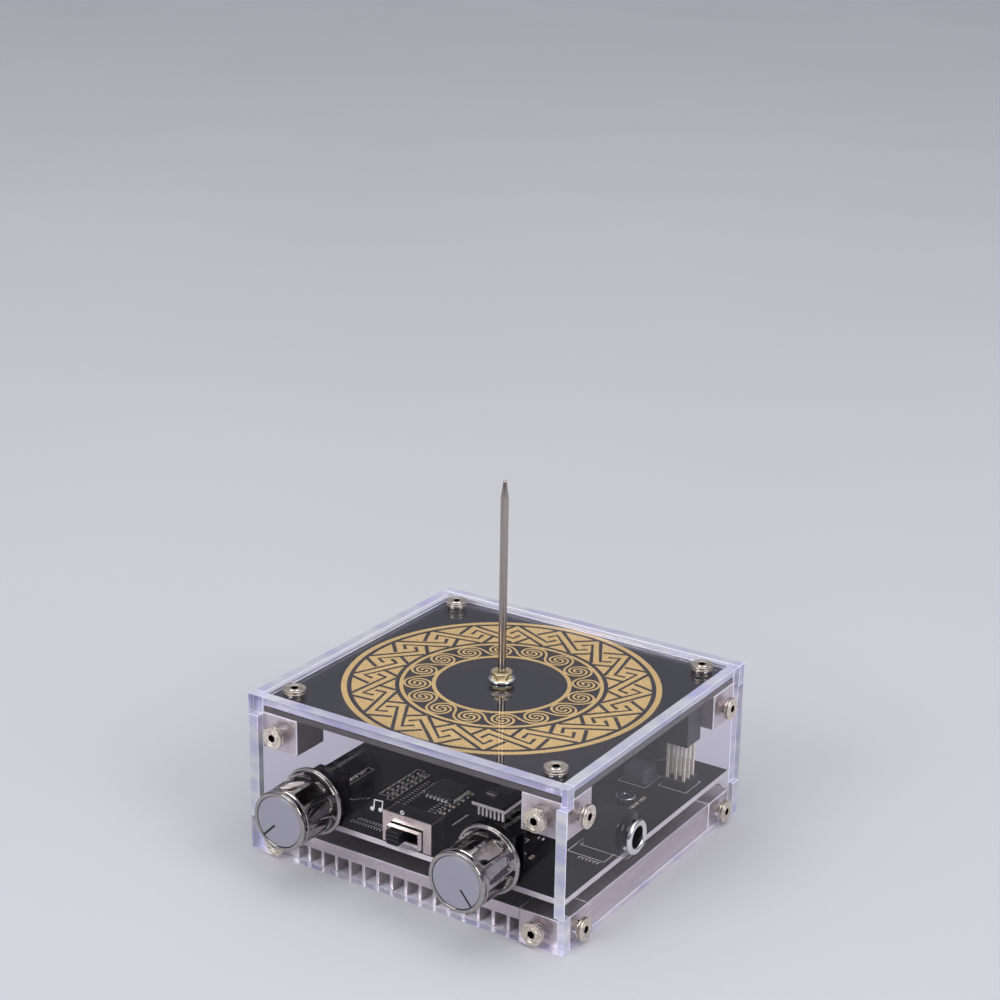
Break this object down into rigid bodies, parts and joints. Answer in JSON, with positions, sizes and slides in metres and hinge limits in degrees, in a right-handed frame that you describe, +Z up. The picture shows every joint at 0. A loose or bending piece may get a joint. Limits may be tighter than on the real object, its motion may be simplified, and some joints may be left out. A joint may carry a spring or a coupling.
{
  "type": "desktop resonant transformer",
  "caption": "Clear-walled desktop resonant transformer: upright discharge needle over a black board with a gold ring pattern, chrome knobs, slide switch, power socket and finned floor.",
  "frame": {"origin": "centre of the case's underside, on the plane that the heatsink's fins and the walls rest on", "axes": "+Z up along the needle, -Y towards the front wall with the knobs and the switch, +X towards the wall with the power socket"},
  "size_m": [0.1028, 0.1119, 0.103],
  "materials": {
    "clear_acrylic": "polished clear acrylic",
    "black_board": "black laminate",
    "gold_print": "gold plated print",
    "copper_track": "printed copper",
    "satin_aluminium": "satin machined",
    "screw_steel": "bright turned",
    "needle_steel": "drawn steel",
    "washer_silver": "polished",
    "collar_brass": "gold plated",
    "knob_chrome": "polished",
    "knob_cap_grey": "satin spun",
    "pot_metal": "plated",
    "black_plastic": "moulded black",
    "ferrite": "moulded grey powder core",
    "pad_grey": "soft silicone"
  },
  "bodies": {
    "case": {"audio_module_board": "black_board", "audio_module_pins": "pot_metal", "back_wall": "clear_acrylic", "board_screws": "screw_steel", "chip_legs": "pot_metal", "cover_plate": "clear_acrylic", "front_wall": "clear_acrylic", "gold_pattern": "gold_print", "header_base": "black_plastic", "header_pins": "collar_brass", "header_socket": "black_plastic", "heatsink": "satin_aluminium", "inductor": "ferrite", "left_wall": "clear_acrylic", "logic_chips": "black_plastic", "lower_block_back_left": "satin_aluminium", "lower_block_back_right": "satin_aluminium", "lower_block_front_left": "satin_aluminium", "lower_block_front_right": "satin_aluminium", "lower_side_screws": "screw_steel", "main_board": "black_board", "needle": "needle_steel", "needle_collar": "collar_brass", "needle_nut": "screw_steel", "needle_washer": "washer_silver", "pot_bodies": "black_plastic", "pot_bushings": "pot_metal", "pot_legs": "pot_metal", "pot_nuts": "pot_metal", "power_socket_body": "black_plastic", "power_socket_pin": "washer_silver", "power_socket_ring": "washer_silver", "primary_winding": "copper_track", "reservoir_capacitors": "black_plastic", "right_wall": "clear_acrylic", "secondary_winding": "copper_track", "side_washers": "screw_steel", "standoffs": "screw_steel", "switch_body": "black_plastic", "switch_plate": "pot_metal", "thermal_pads": "pad_grey", "top_board": "black_board", "top_screws": "screw_steel", "top_washers": "screw_steel", "transistor_cases": "black_plastic", "transistor_leads": "pot_metal", "transistor_screws": "screw_steel", "transistor_tabs": "pot_metal", "upper_block_back_left": "satin_aluminium", "upper_block_back_right": "satin_aluminium", "upper_block_front_left": "satin_aluminium", "upper_block_front_right": "satin_aluminium", "upper_side_screws": "screw_steel"},
    "left_dial": {"left_knob": "knob_chrome", "left_knob_cap": "knob_cap_grey", "left_pot_shaft": "pot_metal"},
    "right_dial": {"right_knob": "knob_chrome", "right_knob_cap": "knob_cap_grey", "right_pot_shaft": "pot_metal"},
    "switch_slider": {"switch_lever": "black_plastic"}
  },
  "joints": [
    {"name": "left_knob_turn", "type": "hinge", "parent": "case", "child": "left_dial", "pos_m": [-0.0278, -0.0555, 0.021], "axis": [0, 1, 0], "range_deg": [-15, 285]},
    {"name": "right_knob_turn", "type": "hinge", "parent": "case", "child": "right_dial", "pos_m": [0.0278, -0.0555, 0.021], "axis": [0, 1, 0], "range_deg": [-290, 10]},
    {"name": "switch_slide", "type": "slide", "parent": "case", "child": "switch_slider", "axis": [1, 0, 0], "range_m": [0, 0.0046]}
  ]
}
